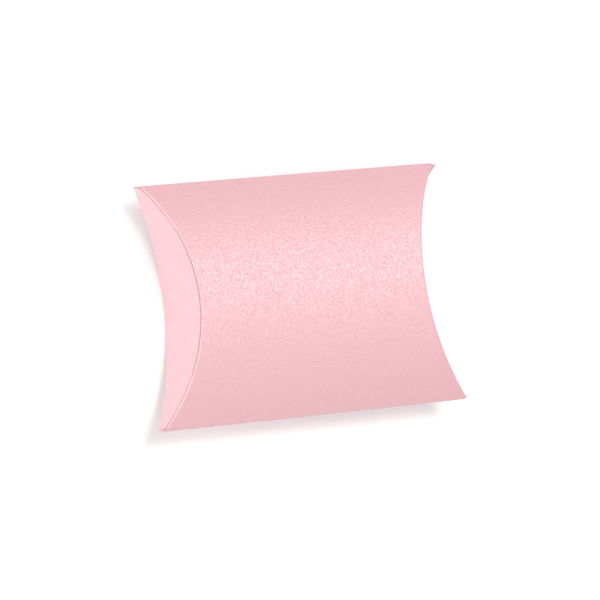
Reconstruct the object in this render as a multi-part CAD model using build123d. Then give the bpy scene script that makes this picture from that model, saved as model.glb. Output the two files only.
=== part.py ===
from build123d import *
from math import atan, cos, degrees, sin, sqrt
import os

# Pillow favour box, lying on its back panel.
# It is one die-cut sheet of grained card: two bowed panels joined along their long edges,
# a glue tab inside one of those edges, and two curved flaps that close each end.
# At the left end the back panel's flap lies outside, at the right end the front panel's.
# X runs along the box, Y across it, Z up from the surface that it lies on.

# Driving dimensions, in millimetres
length = 117.8           # overall, from the back panel's left tips to the front panel's right tips
width = 90.0             # long edge to long edge, measured to the sharp corner of the folds
rise = 15.2              # crown of each panel above the plane of the long edges
board = 0.4              # thickness of the card
tip_step = 2.2           # how far the tips beside an outer flap stand out past those beside an inner flap
left_outer_sag = 10.7    # how deep the left outer flap's crease curves in from its tips
right_outer_sag = 15.2   # the same at the right end, where the flap closes tighter
inner_sag = 15.2         # how deep an inner flap's crease curves in from its tips
fold_radius = 0.75       # outside radius of a long fold
fold_reach = 1.5         # how far a long fold's bent strip reaches in from its edge
seam_setback = 1.0       # from the seam edge to the back panel's raw edge
tab_width = 12.0         # glue tab, across
tab_length = 80.0        # glue tab, along
tab_taper = 3.0          # how much shorter each end of the tab is at its free edge
glue_width = 7.0         # glue film, across
glue_length = 74.0       # glue film, along
glue_film = 0.1          # thickness of the glue film
flap_tip_gap = 1.4       # from a long fold's strip to a flap's tip
crease_gap = 0.05        # end of a panel clear of the flap that folds off it
lip_gap = 0.3            # outer flap's free edge below the face of the panel that it reaches
nest_gap = 0.35          # outer flap clear of the inner flap where they meet
inner_cover = 0.65       # share of the end's height that an inner flap covers
cut_margin = 5.0         # how far a cutting block runs past what it cuts

# Places worked out from those dimensions
half_width = width / 2
mid = rise
bow_radius = (half_width ** 2 + rise ** 2) / (2 * rise)
outer_half = length / 2
inner_half = outer_half - tip_step
fold_start = half_width - fold_reach
flap_half_span = fold_start - flap_tip_gap
inner_lean = 0.0  # an inner flap stands square to the box
FRONT, BACK = 1, -1
LEFT, RIGHT = -1, 1
outer_flap_side = {LEFT: BACK, RIGHT: FRONT}
outer_sag = {LEFT: left_outer_sag, RIGHT: right_outer_sag}


def bow_height(y):
    """Height of a panel's outer face over the plane of the long edges, at y."""
    return sqrt(bow_radius ** 2 - y ** 2) - (bow_radius - rise)


def bow_disc(side, depth=0.0):
    """Disc in the YZ plane whose rim is the panel's section, taken in by depth."""
    return Pos(0, mid + side * (rise - bow_radius)) * Circle(bow_radius - depth)


def band(y_from, y_to):
    """Upright band of the YZ section between two places across the box."""
    return Pos((y_from + y_to) / 2, mid) * Rectangle(y_to - y_from, 2 * rise + 2 * cut_margin)


def along_box(section, run):
    """Solid of a YZ section, run long and centred on the origin."""
    return extrude(Plane.YZ * section, amount=run / 2, both=True)


def bowed_sheet(side, depth, thickness, y_from, y_to, run):
    """Sheet bowed about X, its outer face depth below the panel's outer face."""
    half = Pos(0, mid + side * rise) * Rectangle(width, 2 * rise)
    ring = bow_disc(side, depth) - bow_disc(side, depth + thickness)
    return along_box(ring & half & band(y_from, y_to), run)


def slanted_ends(rim):
    """Prism across the box, its ends slanting from the inner tips to the outer tips within rim of the middle."""
    centre = (outer_half + inner_half) / 2
    reach = rise + cut_margin
    lean = tip_step / 2 * reach / rim
    outline = Polygon(
        (-centre - lean, mid - reach),
        (centre - lean, mid - reach),
        (centre + lean, mid + reach),
        (-centre + lean, mid + reach),
        align=None,
    )
    return extrude(Plane.XZ * outline, amount=width, both=True)


def outside_flap(side, end, half_run, sag, lean, inset=0.0):
    """All that lies beyond a flap's outer face, moved in by inset.

    A panel's end crease lies in a plane through its two tips.
    The flap's face runs straight from that crease, leaning in by lean from upright.
    """
    crease_normal = Vector(end * rise, 0, side * sag)
    crease_plane = Plane((end * half_run, 0, mid), x_dir=(0, 1, 0), z_dir=crease_normal)
    into = Vector(-end * sin(lean), 0, -side * cos(lean))
    # The crease plane cuts a flap's thickness at a slant.
    slant = sin(lean) + cos(lean) * sag / rise
    tube = along_box(bow_disc(side, -inset / slant), 4 * length)
    return extrude(section(tube, section_by=crease_plane), amount=length, dir=into, both=True)


def outer_lean(end):
    """The outer flap leans in until its free edge meets the inner flap's crease."""
    foot = outer_half - outer_sag[end]
    head = inner_half - inner_sag + board + nest_gap
    return atan((foot - head) / (2 * rise))


def outside_inner(end, inset=0.0):
    return outside_flap(-outer_flap_side[end], end, inner_half, inner_sag, inner_lean, inset)


def outside_outer(end, inset=0.0):
    return outside_flap(outer_flap_side[end], end, outer_half, outer_sag[end], outer_lean(end), inset)


def panel(side, y_from, y_to):
    """Bowed sheet that stops short of the two flaps folding off it."""
    sheet = bowed_sheet(side, 0, board, y_from, y_to, 2 * length)
    for end in (LEFT, RIGHT):
        outside = outside_outer if outer_flap_side[end] == side else outside_inner
        sheet -= outside(end, board + crease_gap)
    return sheet


def make_front_panel():
    return panel(FRONT, -fold_start, fold_start)


def make_back_panel():
    """It ends in a raw edge on the seam side, over the glue tab."""
    return panel(BACK, -fold_start, half_width - seam_setback)


def make_long_fold(edge, back_depth):
    """Bent strip along one long edge, from the front panel to a sheet back_depth inside the back's face."""
    lens = bow_disc(FRONT) & bow_disc(BACK, back_depth)
    rounded = fillet(lens.vertices(), fold_radius)
    wall = rounded - offset(rounded, amount=-board)
    strip = along_box(wall & band(*sorted((edge * fold_start, edge * width))), 2 * length)
    # Its ends run slantwise from one panel's tip to the other's.
    return strip & slanted_ends(bow_height(fold_start))


def make_tab():
    """Glue tab inside the back panel, its ends tapered towards the free edge."""
    tab_free_edge = fold_start - tab_width
    sheet = bowed_sheet(BACK, board + glue_film, board, tab_free_edge, fold_start, tab_length)
    outline = Polygon(
        (-tab_length / 2, fold_start),
        (tab_length / 2, fold_start),
        (tab_length / 2 - tab_taper, tab_free_edge),
        (-tab_length / 2 + tab_taper, tab_free_edge),
        align=None,
    )
    return sheet & extrude(outline, amount=2 * mid, both=True)


def make_glue():
    middle = fold_start - tab_width / 2
    return bowed_sheet(
        BACK, board, glue_film, middle - glue_width / 2, middle + glue_width / 2, glue_length
    )


def make_inner_flap(end):
    """Folds off one panel and stands square across the end, behind the outer flap."""
    side = -outer_flap_side[end]
    sheet = outside_inner(end, board) - outside_inner(end)
    free_edge_height = mid - side * (2 * inner_cover - 1) * rise
    root = mid + side * (rise + cut_margin)
    free_edge = ThreePointArc((-half_width, mid), (0, free_edge_height), (half_width, mid))
    walls = Polyline((-half_width, mid), (-half_width, root), (half_width, root), (half_width, mid))
    outline = make_face([free_edge, walls]) & bow_disc(side)
    return sheet & along_box(outline & band(-flap_half_span, flap_half_span), 2 * length)


def make_outer_flap(end):
    """Folds off the other panel and covers the whole end, up to the inner flap's crease."""
    side = outer_flap_side[end]
    sheet = outside_outer(end, board) - outside_outer(end)
    outline = bow_disc(-side, lip_gap) & bow_disc(side)
    return sheet & along_box(outline & band(-flap_half_span, flap_half_span), 2 * length)


nodes = {
    "front_panel": make_front_panel(),
    "back_panel": make_back_panel(),
    "plain_edge_fold": make_long_fold(-1, 0),
    "seam_edge_fold": make_long_fold(1, board + glue_film),
    "glue_tab": make_tab(),
    "glue_film": make_glue(),
    "left_inner_flap": make_inner_flap(LEFT),
    "right_inner_flap": make_inner_flap(RIGHT),
    "left_outer_flap": make_outer_flap(LEFT),
    "right_outer_flap": make_outer_flap(RIGHT),
}

os.makedirs("parts", exist_ok=True)
for name, solid in nodes.items():
    export_step(solid, f"parts/{name}.step")
for end in (LEFT, RIGHT):
    print(f"outer flap leans in {degrees(outer_lean(end)):.1f} degrees")
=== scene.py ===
from collections import Counter
import math

import bpy
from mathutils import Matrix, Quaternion, Vector


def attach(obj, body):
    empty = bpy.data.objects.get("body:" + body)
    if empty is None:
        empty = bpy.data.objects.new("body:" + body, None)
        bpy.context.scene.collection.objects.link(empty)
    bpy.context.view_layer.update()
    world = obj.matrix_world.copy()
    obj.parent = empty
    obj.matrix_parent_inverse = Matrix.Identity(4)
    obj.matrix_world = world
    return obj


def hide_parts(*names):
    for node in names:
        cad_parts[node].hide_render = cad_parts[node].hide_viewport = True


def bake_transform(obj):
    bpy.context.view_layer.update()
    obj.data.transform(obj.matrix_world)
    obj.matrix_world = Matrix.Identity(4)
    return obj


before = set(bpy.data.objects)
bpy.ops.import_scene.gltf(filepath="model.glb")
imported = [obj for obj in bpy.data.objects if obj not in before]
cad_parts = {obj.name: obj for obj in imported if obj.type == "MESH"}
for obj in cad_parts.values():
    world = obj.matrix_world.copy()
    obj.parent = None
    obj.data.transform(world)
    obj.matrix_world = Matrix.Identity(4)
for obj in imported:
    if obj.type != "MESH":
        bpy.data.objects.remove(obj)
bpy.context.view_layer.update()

# Front panel
# One half of a die-cut sheet of embossed, pearl-coated pink card, bowed across its width.
# Its two ends follow curved creases, and its long edges run into the folded edges.
MM = 0.001
CARD = 0.4 * MM
HALF_WIDTH = 45.0 * MM
RISE = 15.2 * MM
MID = RISE
FOLD_START = 43.5 * MM
OUTER_TIP = 58.9 * MM
INNER_TIP = 56.7 * MM
INNER_SAG = 15.2 * MM
OUTER_SAG = {"left": 10.7 * MM, "right": 15.2 * MM}
CREASE_SETBACK = 0.8 * MM
# The right end is folded a little askew: its upper tips stop short and its lower tips run on.
SKEW = 0.04
SKEW_PIVOT = -10 * MM
GRID_POINTS = 121
WELD = 0.001 * MM
SHARP_ANGLE = math.radians(40)


def linear(code):
    """Linear colour of an sRGB hex code."""
    channels = [int(code[i:i + 2], 16) / 255 for i in (0, 2, 4)]
    return [c / 12.92 if c <= 0.04045 else ((c + 0.055) / 1.055) ** 2.4 for c in channels] + [1.0]


def add(tree, kind, settings=None, **inputs):
    """Adds a node with its settings; an input is a value or another node's output."""
    node = tree.nodes.new(kind)
    for name, value in (settings or {}).items():
        setattr(node, name, value)
    for name, value in inputs.items():
        numbered = name[0] == "_" and name[1:].isdigit()
        socket = node.inputs[int(name[1:]) if numbered else name.replace("_", " ")]
        if isinstance(value, bpy.types.NodeSocket):
            tree.links.new(value, socket)
        else:
            socket.default_value = value
    return node


def start_material(name):
    material = bpy.data.materials.new(name)
    material.use_nodes = True
    material.node_tree.nodes.clear()
    return material, material.node_tree


def mottled(name, dark, light, pitch, detail, roughness, relief=0.0):
    """Plain material that fine fibres mottle between two colours, and raise by relief."""
    material, tree = start_material(name)
    place = add(tree, "ShaderNodeTexCoord").outputs["Object"]
    fibres = add(tree, "ShaderNodeTexNoise", Vector=place, Scale=1 / pitch, Detail=detail)
    tint = add(tree, "ShaderNodeMix", {"data_type": "RGBA"}, Factor=fibres.outputs["Fac"],
               A=linear(dark), B=linear(light))
    face = add(tree, "ShaderNodeBsdfPrincipled", Base_Color=tint.outputs["Result"],
               Roughness=roughness)
    if relief:
        bump = add(tree, "ShaderNodeBump", Strength=0.15, Distance=relief,
                   Height=fibres.outputs["Fac"])
        tree.links.new(bump.outputs["Normal"], face.inputs["Normal"])
    add(tree, "ShaderNodeOutputMaterial", Surface=face.outputs["BSDF"])
    return material


def put(name, data):
    """New object at the origin, linked into the scene."""
    thing = bpy.data.objects.new(name, data)
    bpy.context.scene.collection.objects.link(thing)
    return thing


# Pearl-coated embossed card: a satin pink face with a fine pebble grain. Some grains hold the
# pearl coat and some are bare, so the highlight breaks up into pale specks.
GRAIN_PITCH = 0.42 * MM
GRAIN_DEPTH = 0.08 * MM
pearl_card, tree = start_material("pearl embossed card")
place = add(tree, "ShaderNodeTexCoord").outputs["Object"]
pebbles = add(tree, "ShaderNodeTexVoronoi", Vector=place, Scale=1 / GRAIN_PITCH).outputs
wrinkle = add(tree, "ShaderNodeTexNoise", Vector=place, Scale=0.5 / GRAIN_PITCH, Detail=3.0,
              Roughness=0.6)
tint = add(tree, "ShaderNodeMix", {"data_type": "RGBA"}, Factor=wrinkle.outputs["Fac"],
           A=linear("F0BAC1"), B=linear("F2C1C7"))
# The coating is stretched pale along a crease, and the paler colour there is also a painted
# highlight along the rounded fold.
crease = add(tree, "ShaderNodeAttribute", {"attribute_name": "crease"})
worn_and_highlit = add(tree, "ShaderNodeMix", {"data_type": "RGBA"}, Factor=crease.outputs["Fac"],
           A=tint.outputs["Result"], B=linear("F4D2D6"))
coat = add(tree, "ShaderNodeMapRange", Value=pebbles["Color"], From_Min=0.45, From_Max=0.55)
bump = add(tree, "ShaderNodeBump", {"invert": True}, Strength=1.0, Distance=GRAIN_DEPTH,
           Height=pebbles["Distance"])
face = add(tree, "ShaderNodeBsdfPrincipled", Base_Color=worn_and_highlit.outputs["Result"], Roughness=0.4,
           Specular_IOR_Level=coat.outputs["Result"], IOR=1.6, Normal=bump.outputs["Normal"])
add(tree, "ShaderNodeOutputMaterial", Surface=face.outputs["BSDF"])

# The card's uncoated back is paler and matt. Its cut edge shows the dyed core, a little deeper
# than the face.
card_back = mottled("uncoated card back", "E6C3C8", "ECCED2", pitch=0.7 * MM, detail=4.0,
                    roughness=0.8, relief=0.05 * MM)
cut_edge = mottled("cut card edge", "DFA9B2", "E8B8BF", pitch=0.3 * MM, detail=2.0,
                   roughness=0.85)


def bowed_panel_tree():
    """Grid bent to a panel's bow, trimmed to its end creases and given the card's thickness."""
    group = bpy.data.node_groups.new("bowed panel", "GeometryNodeTree")
    defaults = {"Left Tip": 0.05, "Left Sag": 0.01, "Right Tip": 0.05, "Right Sag": 0.01,
                "Right Skew": 0.0, "Skew Pivot": 0.0, "Half Width": 0.045, "Rise": 0.015,
                "Middle": 0.015, "Side": 1.0, "From Y": -0.04, "To Y": 0.04, "Card": 0.0004}
    for name, default in defaults.items():
        socket = group.interface.new_socket(name, in_out="INPUT", socket_type="NodeSocketFloat")
        socket.default_value = default
    group.interface.new_socket("Geometry", in_out="OUTPUT", socket_type="NodeSocketGeometry")
    given = add(group, "NodeGroupInput").outputs
    grid = add(group, "GeometryNodeMeshGrid", Size_X=1.0, Size_Y=1.0,
               Vertices_X=GRID_POINTS, Vertices_Y=GRID_POINTS)
    here = add(group, "GeometryNodeInputPosition")
    spot = add(group, "ShaderNodeSeparateXYZ", Vector=here.outputs[0])

    # Each sum has a name, an operation and its terms: inputs, sums before it, or plain numbers.
    known = {name: given[name] for name in defaults}
    known.update({"grid x": spot.outputs["X"], "grid y": spot.outputs["Y"]})
    sums = (
        ("across", "ADD", "grid y", 0.5),
        ("span", "SUBTRACT", "To Y", "From Y"),
        ("y", "MULTIPLY_ADD", "across", "span", "From Y"),
        # The bow is an arc through both long edges, as high as the rise.
        ("half width squared", "MULTIPLY", "Half Width", "Half Width"),
        ("rise squared", "MULTIPLY", "Rise", "Rise"),
        ("both squared", "ADD", "half width squared", "rise squared"),
        ("twice rise", "MULTIPLY", "Rise", 2.0),
        ("radius", "DIVIDE", "both squared", "twice rise"),
        ("radius squared", "MULTIPLY", "radius", "radius"),
        ("y squared", "MULTIPLY", "y", "y"),
        ("upright squared", "SUBTRACT", "radius squared", "y squared"),
        ("upright", "SQRT", "upright squared"),
        ("centre depth", "SUBTRACT", "radius", "Rise"),
        ("bow", "SUBTRACT", "upright", "centre depth"),
        # The end creases curve in with the bow, and the right one lies askew.
        ("share", "DIVIDE", "bow", "Rise"),
        ("left curve", "MULTIPLY", "Left Sag", "share"),
        ("left", "SUBTRACT", "left curve", "Left Tip"),
        ("right curve", "MULTIPLY", "Right Sag", "share"),
        ("square right", "SUBTRACT", "Right Tip", "right curve"),
        ("from pivot", "SUBTRACT", "y", "Skew Pivot"),
        ("askew", "MULTIPLY", "from pivot", "Right Skew"),
        ("right", "SUBTRACT", "square right", "askew"),
        ("along", "ADD", "grid x", 0.5),
        ("run", "SUBTRACT", "right", "left"),
        ("x", "MULTIPLY_ADD", "along", "run", "left"),
        ("z", "MULTIPLY_ADD", "Side", "bow", "Middle"),
        ("is back", "LESS_THAN", "Side", 0.0),
        ("inward", "MULTIPLY", "Card", -1.0),
    )
    for name, operation, *terms in sums:
        inputs = {f"_{k}": known.get(term, term) for k, term in enumerate(terms)}
        settings = {"operation": operation, "label": name}
        known[name] = add(group, "ShaderNodeMath", settings, **inputs).outputs[0]

    bent_to = add(group, "ShaderNodeCombineXYZ", X=known["x"], Y=known["y"], Z=known["z"])
    bent = add(group, "GeometryNodeSetPosition", Geometry=grid.outputs["Mesh"],
               Position=bent_to.outputs[0])
    # The back panel's grid is turned over, so that its face looks out.
    turned = add(group, "GeometryNodeFlipFaces", Mesh=bent.outputs[0], Selection=known["is back"])
    normal = add(group, "GeometryNodeInputNormal")
    inward = add(group, "ShaderNodeVectorMath", {"operation": "SCALE"}, _0=normal.outputs[0],
                 Scale=known["inward"])
    wall = add(group, "GeometryNodeExtrudeMesh", {"mode": "FACES"}, Mesh=turned.outputs[0],
               Offset=inward.outputs[0], Offset_Scale=1.0, Individual=False)
    inner = add(group, "GeometryNodeFlipFaces", Mesh=wall.outputs["Mesh"])
    both = add(group, "GeometryNodeJoinGeometry")
    for layer in (turned, inner):
        group.links.new(layer.outputs[0], both.inputs[0])
    closed = add(group, "GeometryNodeMergeByDistance", Geometry=both.outputs[0], Distance=WELD)
    smooth = add(group, "GeometryNodeSetShadeSmooth", Geometry=closed.outputs[0])
    real = add(group, "GeometryNodeRealizeInstances", Geometry=smooth.outputs[0])
    faced = add(group, "GeometryNodeSetMaterial", Geometry=real.outputs[0], Material=pearl_card)
    backed = add(group, "GeometryNodeSetMaterial", Geometry=faced.outputs[0],
                 Selection=wall.outputs["Top"], Material=card_back)
    edged = add(group, "GeometryNodeSetMaterial", Geometry=backed.outputs[0],
                Selection=wall.outputs["Side"], Material=cut_edge)
    add(group, "NodeGroupOutput", Geometry=edged.outputs[0])
    return group


panel_tree = bowed_panel_tree()


def make_panel(name, sizes):
    """Panel of the given sizes, as a plain mesh."""
    maker = put(name + " maker", bpy.data.meshes.new(name + " maker"))
    modifier = maker.modifiers.new("panel", "NODES")
    modifier.node_group = panel_tree
    for item in panel_tree.interface.items_tree:
        if item.in_out == "INPUT" and item.name in sizes:
            modifier[item.identifier] = sizes[item.name]
    bpy.context.view_layer.update()
    made = maker.evaluated_get(bpy.context.evaluated_depsgraph_get())
    mesh = bpy.data.meshes.new_from_object(made)
    bpy.data.objects.remove(maker)
    mesh.set_sharp_from_angle(angle=SHARP_ANGLE)
    return put(name, mesh)


BOTH_PANELS = {"Right Skew": SKEW, "Skew Pivot": SKEW_PIVOT, "Half Width": HALF_WIDTH,
               "Rise": RISE, "Middle": MID, "From Y": -FOLD_START, "Card": CARD}
front_panel = make_panel("front_face_panel", {
    **BOTH_PANELS, "Side": 1.0, "To Y": FOLD_START,
    "Left Tip": INNER_TIP - CREASE_SETBACK, "Left Sag": INNER_SAG,
    "Right Tip": OUTER_TIP - CREASE_SETBACK, "Right Sag": OUTER_SAG["right"]})
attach(front_panel, "sleeve")
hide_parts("front_panel")

# Back panel
# The other half of the same sheet, bowed the other way; the box lies on it.
# It sits a little further left than the front panel, and on the seam side it ends in a raw edge.
RAW_EDGE = 44.0 * MM
back_panel = make_panel("back_face_panel", {
    **BOTH_PANELS, "Side": -1.0, "To Y": RAW_EDGE,
    "Left Tip": OUTER_TIP - CREASE_SETBACK, "Left Sag": OUTER_SAG["left"],
    "Right Tip": INNER_TIP - CREASE_SETBACK, "Right Sag": INNER_SAG})
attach(back_panel, "sleeve")
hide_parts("back_panel")

# Outer flaps
# Curved tongues of the same card that close the ends: the left one folds off the back panel,
# the right one off the front panel. Each leans in over the inner flap behind it.
BOW_RADIUS = (HALF_WIDTH ** 2 + RISE ** 2) / (2 * RISE)
FLAP_SPAN = 43.4 * MM
LIP_GAP = 0.32 * MM
TIP_LIP_GAP = {"left": 1.0 * MM, "right": LIP_GAP}
LIP_FROM = 24 * MM
LIP_TO = 34 * MM
NEST_GAP = 0.03 * MM
SPRING = {"left": 0.0, "right": 4.0 * MM}
SPRING_FROM = 30 * MM
SPRING_TO = 39 * MM
# How pale each row round a flap's crease is painted: stretched coating, and a painted highlight
# along the fold.
CREASE_WEAR_AND_HIGHLIGHT = (0, 0.05, 0.1, 0.2, 0.3, 0.3, 0.2, 0.1)
HALF_COLUMNS = 60
BEND_STEPS = 8
FLAP_STEPS = 29
LEAN_ROUNDS = 6


def bow(y):
    return math.sqrt(BOW_RADIUS ** 2 - y ** 2) - (BOW_RADIUS - RISE)


def askew(end, y):
    """How far an end's tips and creases move in at y."""
    return SKEW * (y - SKEW_PIVOT) if end > 0 else 0.0


def card_piece(name, rows, crease_wear_and_sheen=()):
    """Sheet of card whose outer face runs through rows of points, with its thickness behind.

    creased gives how pale the first rows are painted, from 0 to 1: stretched coating along the
    crease, and a painted highlight on its fold.
    """
    count, width = len(rows), len(rows[0])
    mesh = bpy.data.meshes.new(name)
    mesh.from_pydata([p for row in rows for p in row], [], [
        (i * width + j, i * width + j + 1, (i + 1) * width + j + 1, (i + 1) * width + j)
        for i in range(count - 1) for j in range(width - 1)])
    for material in (pearl_card, card_back, cut_edge):
        mesh.materials.append(material)
    mesh.shade_smooth()
    # Its cut edges are crisp.
    sides = [key for face in mesh.polygons for key in face.edge_keys]
    joined = {key for key, times in Counter(sides).items() if times > 1}
    for edge in mesh.edges:
        edge.use_edge_sharp = edge.key not in joined
    # The crease's paleness, partly stretched coating and partly a painted highlight, goes to the
    # material as an attribute.
    wear_and_sheen = list(crease_wear_and_sheen) + [0.0] * (count - len(crease_wear_and_sheen))
    crease = mesh.attributes.new("crease", "FLOAT", "POINT")
    crease.data.foreach_set("value", [w for w in wear_and_sheen for j in range(width)])
    piece = put(name, mesh)
    card = piece.modifiers.new("card", "SOLIDIFY")
    card.thickness = CARD
    card.offset = -1
    card.material_offset = 1
    card.material_offset_rim = 2
    return piece


def folded_rows(end, side, tip, sag, lean_at, free_edge):
    """Rows from a panel's end round its crease and down the flap, to the flap's free edge."""
    shares = [k / HALF_COLUMNS for k in range(-HALF_COLUMNS, HALF_COLUMNS + 1)]
    columns = [FLAP_SPAN * math.sin(math.pi / 2 * share) for share in shares]
    if end * side > 0:
        columns.reverse()
    rows = [[] for step in range(BEND_STEPS + 1 + FLAP_STEPS)]
    for y in columns:
        lean = lean_at(y)
        bend = math.pi / 2 + lean
        # The bend starts at the panel's end, so a crease that is folded further is tighter.
        radius = CREASE_SETBACK / math.tan(bend / 2)
        start = tip - sag * bow(y) / RISE - CREASE_SETBACK - askew(end, y)
        for step in range(BEND_STEPS + 1):
            angle = bend * step / BEND_STEPS
            x = start + radius * math.sin(angle)
            z = bow(y) - radius * (1 - math.cos(angle))
            rows[step].append((x, y, z))
        for step in range(1, FLAP_STEPS + 1):
            drop = (z - free_edge(y)) * step / FLAP_STEPS
            rows[BEND_STEPS + step].append((x - drop * math.tan(lean), y, z - drop))
    return [[(end * x, y, MID + side * z) for x, y, z in row] for row in rows]


def hinge_flap(flap):
    """Bakes the flap's placement into its mesh."""
    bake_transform(flap)


def ease(value, start, end):
    """Rises smoothly from 0 at start to 1 at end."""
    share = min(1.0, max(0.0, (value - start) / (end - start)))
    return share ** 2 * (3 - 2 * share)


def outer_lip(hand, y):
    """An outer flap's cut edge stops just below the face that it reaches, or lower at its tips."""
    return LIP_GAP + (TIP_LIP_GAP[hand] - LIP_GAP) * ease(abs(y), LIP_FROM, LIP_TO)


def outer_lean(hand, y):
    """An outer flap leans in until its cut edge lies just outside the inner flap's crease."""
    ahead = OUTER_TIP - INNER_TIP + (INNER_SAG - OUTER_SAG[hand]) * bow(y) / RISE
    # The right one has sprung out a little at its upper tip.
    sprung = SPRING[hand] * ease(y, SPRING_FROM, SPRING_TO)
    height = 2 * bow(y) - outer_lip(hand, y)
    # The lean also turns the thickness of the card, so it is found in a few rounds.
    lean = 0.0
    for step in range(LEAN_ROUNDS):
        lean = math.atan((ahead - CARD * math.cos(lean) - NEST_GAP - sprung) / height)
    return lean


for end, hand, side in ((-1, "left", -1), (1, "right", 1)):
    rows = folded_rows(end, side, OUTER_TIP, OUTER_SAG[hand],
                       lambda y: outer_lean(hand, y), lambda y: outer_lip(hand, y) - bow(y))
    flap = card_piece(f"{hand}_outer_tongue", rows, CREASE_WEAR_AND_HIGHLIGHT)
    hinge_flap(flap)
    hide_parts(f"{hand}_outer_flap")

# Inner flaps
# The same tongues on the other panel at each end; they stand square inside the ends, behind the
# outer flaps, and only a sliver of them shows near the tips.
INNER_COVER = 0.65
for end, hand, side in ((-1, "left", 1), (1, "right", -1)):
    rows = folded_rows(end, side, INNER_TIP, INNER_SAG,
                       lambda y: 0.0, lambda y: (1 - 2 * INNER_COVER) * bow(y))
    flap = card_piece(f"{hand}_inner_tongue", rows, CREASE_WEAR_AND_HIGHLIGHT)
    hinge_flap(flap)
    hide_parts(f"{hand}_inner_flap")

# Folded long edges
# The sheet is scored and bent over along both long edges, so each edge is a tight round fold.
# On the seam side the fold leads into the glue tab instead of the back panel.
FOLD_RADIUS = 0.75 * MM
GLUE_FILM = 0.1 * MM
FACE_STEPS = 6
ROUND_STEPS = 12
LENGTH_STEPS = 60


def fold_outline(back_depth):
    """Section of a long fold's outer side, from the front panel round to the back; z is over MID."""
    front_centre = Vector((0, RISE - BOW_RADIUS))
    back_centre = Vector((0, BOW_RADIUS - RISE))
    back_radius = BOW_RADIUS - back_depth
    front_reach = BOW_RADIUS - FOLD_RADIUS
    back_reach = back_radius - FOLD_RADIUS
    # The fold's centre keeps its radius from both faces.
    apart = back_centre.y - front_centre.y
    up = (front_reach ** 2 - back_reach ** 2 + apart ** 2) / (2 * apart)
    middle = Vector((math.sqrt(front_reach ** 2 - up ** 2), front_centre.y + up))
    front_arm = middle - front_centre
    back_arm = middle - back_centre
    front_end = front_centre + front_arm.normalized() * BOW_RADIUS
    back_start = back_centre + back_arm.normalized() * back_radius
    first = front_arm.angle_signed(Vector((1, 0)))
    last = back_arm.angle_signed(Vector((1, 0)))
    points = []
    for step in range(FACE_STEPS):
        y = FOLD_START + (front_end.x - FOLD_START) * step / FACE_STEPS
        points.append((y, front_centre.y + math.sqrt(BOW_RADIUS ** 2 - y ** 2)))
    for step in range(ROUND_STEPS + 1):
        angle = first + (last - first) * step / ROUND_STEPS
        points.append((middle.x + FOLD_RADIUS * math.cos(angle),
                       middle.y + FOLD_RADIUS * math.sin(angle)))
    for step in range(1, FACE_STEPS + 1):
        y = back_start.x + (FOLD_START - back_start.x) * step / FACE_STEPS
        points.append((y, back_centre.y - math.sqrt(back_radius ** 2 - y ** 2)))
    return points


share = bow(FOLD_START) / RISE
inner_end = INNER_TIP - INNER_SAG * share
outer_end = {hand: OUTER_TIP - sag * share for hand, sag in OUTER_SAG.items()}
for edge, node, back_depth in ((-1, "plain_edge_fold", 0.0),
                               (1, "seam_edge_fold", CARD + GLUE_FILM)):
    outline = fold_outline(back_depth)
    top, low = outline[0][1], outline[-1][1]
    rows = []
    for y, z in outline:
        # Its ends run slantwise from the front panel's creases to the back panel's.
        down = (top - z) / (top - low)
        left = -inner_end + (inner_end - outer_end["left"]) * down
        right = outer_end["right"] + (inner_end - outer_end["right"]) * down - askew(1, edge * y)
        rows.append([(left + (right - left) * k / LENGTH_STEPS, edge * y, MID + z)
                     for k in range(LENGTH_STEPS + 1)])
    if edge < 0:
        rows = [list(reversed(row)) for row in rows]
    fold = card_piece(node + "_strip", rows)
    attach(fold, "sleeve")
    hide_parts(node)

# Glue tab and glue
# The tab is a strip of the sheet turned in under the back panel's raw edge.
# A thin dried film of white glue holds it; both are hidden while the ends are closed.
glue = mottled("dried white glue", "E6DFD2", "F0EADF", pitch=2 * MM, detail=2.0, roughness=0.35)
for node, material in (("glue_tab", card_back), ("glue_film", glue)):
    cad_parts[node].material_slots[0].material = material

# Table and light
# A wide white table under the box and soft white light. The key light hangs above it, towards the
# back right, so that its reflection lies along the panel, and a side light brightens the left end.
REACH = 3.0
TABLE_LIFT = 0.12
AIR_LEVEL = 0.343
AIM = Vector((0, 0, 0.015))
floor_mesh = bpy.data.meshes.new("table")
floor_mesh.from_pydata([(-REACH, -REACH, 0), (REACH, -REACH, 0), (REACH, REACH, 0),
                        (-REACH, REACH, 0)], [], [(0, 1, 2, 3)])
table = put("table", floor_mesh)
white, tree = start_material("white table")
face = add(tree, "ShaderNodeBsdfDiffuse", Color=linear("FBFBFB"))
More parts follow.
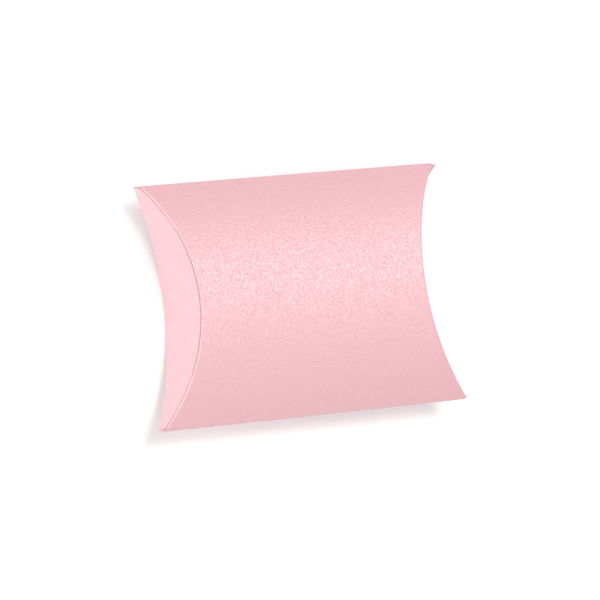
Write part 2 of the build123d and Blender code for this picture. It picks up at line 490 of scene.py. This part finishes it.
# It is shown a little whiter than the light makes it, without lighting the box.
ray = add(tree, "ShaderNodeLightPath").outputs
seen = add(tree, "ShaderNodeMath", _0=ray["Is Camera Ray"], _1=ray["Is Glossy Ray"])
shown = add(tree, "ShaderNodeMath", _0=seen.outputs[0], _1=ray["Is Transmission Ray"])
lift = add(tree, "ShaderNodeEmission", Color=(TABLE_LIFT, TABLE_LIFT, TABLE_LIFT, 1),
           Strength=shown.outputs[0])
whiter = add(tree, "ShaderNodeAddShader", _0=face.outputs["BSDF"], _1=lift.outputs[0])
add(tree, "ShaderNodeOutputMaterial", Surface=whiter.outputs[0])
floor_mesh.materials.append(white)

world = bpy.data.worlds.new("studio")
world.use_nodes = True
world.node_tree.nodes.clear()
air = add(world.node_tree, "ShaderNodeBackground", Color=(1, 1, 1, 1), Strength=AIR_LEVEL)
add(world.node_tree, "ShaderNodeOutputWorld", Surface=air.outputs[0])
bpy.context.scene.world = world

for name, spot, size, power in (("key", (0.28, 0.32, 1.08), 0.45, 6.7),
                                ("overhead", (-0.1, -0.25, 1.2), 0.8, 2.4),
                                ("side", (-0.95, -0.18, 0.32), 0.5, 5.7)):
    lamp = bpy.data.lights.new(name, "AREA")
    lamp.size = size
    lamp.energy = power
    softbox = put(name, lamp)
    softbox.location = spot
    softbox.rotation_euler = (AIM - Vector(spot)).to_track_quat("-Z", "Y").to_euler()

# Camera
# It looks down on the box from a little to the left, turned so that the box tips anticlockwise.
# Its place, focus and shifts were fitted to the photograph, the last two in its pixels.
DISTANCE = 892 * MM
TURN = Vector((-0.07112, 0.27942, 0.1015))
PICTURE = 600
FOCUS = 2443.9
SHIFT_X = -0.79
SHIFT_Y = -5.91
SENSOR = 36.0
to_view = Quaternion(TURN.normalized(), TURN.length).to_matrix()
lens = bpy.data.cameras.new("camera")
lens.sensor_width = SENSOR
lens.lens = FOCUS / PICTURE * SENSOR
lens.shift_x = SHIFT_X / PICTURE
lens.shift_y = SHIFT_Y / PICTURE
lens.clip_start = 0.01
camera = put("camera", lens)
camera.rotation_mode = "QUATERNION"
camera.rotation_quaternion = to_view.transposed().to_quaternion()
camera.location = to_view.transposed() @ Vector((0, 0, DISTANCE)) + Vector((0, 0, MID))
bpy.context.scene.camera = camera
bpy.context.scene.view_settings.view_transform = "Standard"
